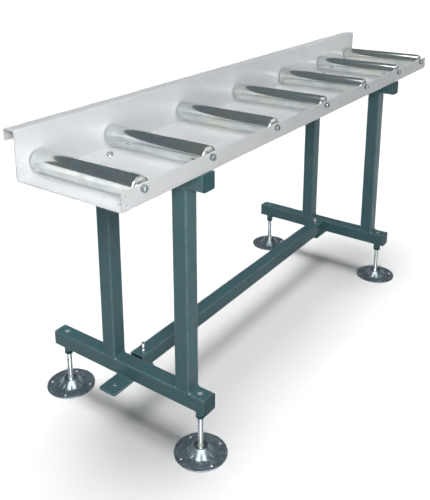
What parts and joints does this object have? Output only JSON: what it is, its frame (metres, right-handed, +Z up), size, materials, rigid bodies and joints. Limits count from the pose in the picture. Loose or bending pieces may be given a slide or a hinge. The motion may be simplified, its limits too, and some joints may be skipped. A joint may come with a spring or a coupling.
{
  "type": "roller conveyor",
  "caption": "Straight gravity roller table: a folded tray with free rollers between a low and a tall wall, on two welded leg frames with levelling feet.",
  "frame": {"origin": "on the floor, under the middle of the tray's length and of the foot beams", "axes": "+X along the table from the end with the joining holes, +Y across it towards the tall back wall, +Z up"},
  "size_m": [2, 0.705, 1.013],
  "materials": {
    "tray_paint": "light grey powder coat, satin",
    "frame_paint": "grey-green powder coat, satin",
    "roller_steel": "bright zinc plated tube",
    "zinc": "bright zinc plate",
    "pad_zinc": "dull hot galvanised sheet",
    "bearing_steel": "ground bearing steel"
  },
  "bodies": {
    "frame": {"tray": "tray_paint", "roller_axle_1": "zinc", "roller_axle_2": "zinc", "roller_axle_3": "zinc", "roller_axle_4": "zinc", "roller_axle_5": "zinc", "roller_axle_6": "zinc", "roller_axle_7": "zinc", "bearing_inner_rings": "bearing_steel", "axle_snap_rings": "zinc", "axle_screws": "zinc", "foot_beam_near": "frame_paint", "foot_beam_far": "frame_paint", "post_near_front": "frame_paint", "post_near_rear": "frame_paint", "post_far_front": "frame_paint", "post_far_rear": "frame_paint", "top_beam_near": "frame_paint", "top_beam_far": "frame_paint", "tube_end_caps": "frame_paint", "base_plate_near": "frame_paint", "base_plate_far": "frame_paint", "tray_lugs": "frame_paint", "cross_bar": "frame_paint", "bar_bolts": "zinc", "tray_bolts": "zinc", "m10_washers": "zinc", "m10_nuts": "zinc", "foot_bushes": "frame_paint", "lock_nuts": "frame_paint"},
    "roller_1": {"roller_tube_1": "roller_steel", "roller_end_cups_1": "zinc", "bearing_outers_1": "bearing_steel"},
    "roller_2": {"roller_tube_2": "roller_steel", "roller_end_cups_2": "zinc", "bearing_outers_2": "bearing_steel"},
    "roller_3": {"roller_tube_3": "roller_steel", "roller_end_cups_3": "zinc", "bearing_outers_3": "bearing_steel"},
    "roller_4": {"roller_tube_4": "roller_steel", "roller_end_cups_4": "zinc", "bearing_outers_4": "bearing_steel"},
    "roller_5": {"roller_tube_5": "roller_steel", "roller_end_cups_5": "zinc", "bearing_outers_5": "bearing_steel"},
    "roller_6": {"roller_tube_6": "roller_steel", "roller_end_cups_6": "zinc", "bearing_outers_6": "bearing_steel"},
    "roller_7": {"roller_tube_7": "roller_steel", "roller_end_cups_7": "zinc", "bearing_outers_7": "bearing_steel"},
    "foot_near_front": {"foot_pad_near_front": "pad_zinc", "foot_stem_near_front": "zinc"},
    "foot_near_rear": {"foot_pad_near_rear": "pad_zinc", "foot_stem_near_rear": "zinc"},
    "foot_far_front": {"foot_pad_far_front": "pad_zinc", "foot_stem_far_front": "zinc"},
    "foot_far_rear": {"foot_pad_far_rear": "pad_zinc", "foot_stem_far_rear": "zinc"}
  },
  "joints": [
    {"name": "roller_1_spin", "type": "hinge", "parent": "frame", "child": "roller_1", "pos_m": [-0.93, -0.1265, 0.92], "axis": [0, 1, 0], "continuous": true},
    {"name": "roller_2_spin", "type": "hinge", "parent": "frame", "child": "roller_2", "pos_m": [-0.66, -0.1265, 0.92], "axis": [0, 1, 0], "continuous": true},
    {"name": "roller_3_spin", "type": "hinge", "parent": "frame", "child": "roller_3", "pos_m": [-0.33, -0.1265, 0.92], "axis": [0, 1, 0], "continuous": true},
    {"name": "roller_4_spin", "type": "hinge", "parent": "frame", "child": "roller_4", "pos_m": [0, -0.1265, 0.92], "axis": [0, 1, 0], "continuous": true},
    {"name": "roller_5_spin", "type": "hinge", "parent": "frame", "child": "roller_5", "pos_m": [0.33, -0.1265, 0.92], "axis": [0, 1, 0], "continuous": true},
    {"name": "roller_6_spin", "type": "hinge", "parent": "frame", "child": "roller_6", "pos_m": [0.66, -0.1265, 0.92], "axis": [0, 1, 0], "continuous": true},
    {"name": "roller_7_spin", "type": "hinge", "parent": "frame", "child": "roller_7", "pos_m": [0.93, -0.1265, 0.92], "axis": [0, 1, 0], "continuous": true},
    {"name": "foot_near_front_height", "type": "slide", "parent": "frame", "child": "foot_near_front", "axis": [0, 0, 1], "range_m": [-0.04, 0.08]},
    {"name": "foot_near_rear_height", "type": "slide", "parent": "frame", "child": "foot_near_rear", "axis": [0, 0, 1], "range_m": [-0.04, 0.08]},
    {"name": "foot_far_front_height", "type": "slide", "parent": "frame", "child": "foot_far_front", "axis": [0, 0, 1], "range_m": [-0.04, 0.08]},
    {"name": "foot_far_rear_height", "type": "slide", "parent": "frame", "child": "foot_far_rear", "axis": [0, 0, 1], "range_m": [-0.04, 0.08]}
  ]
}
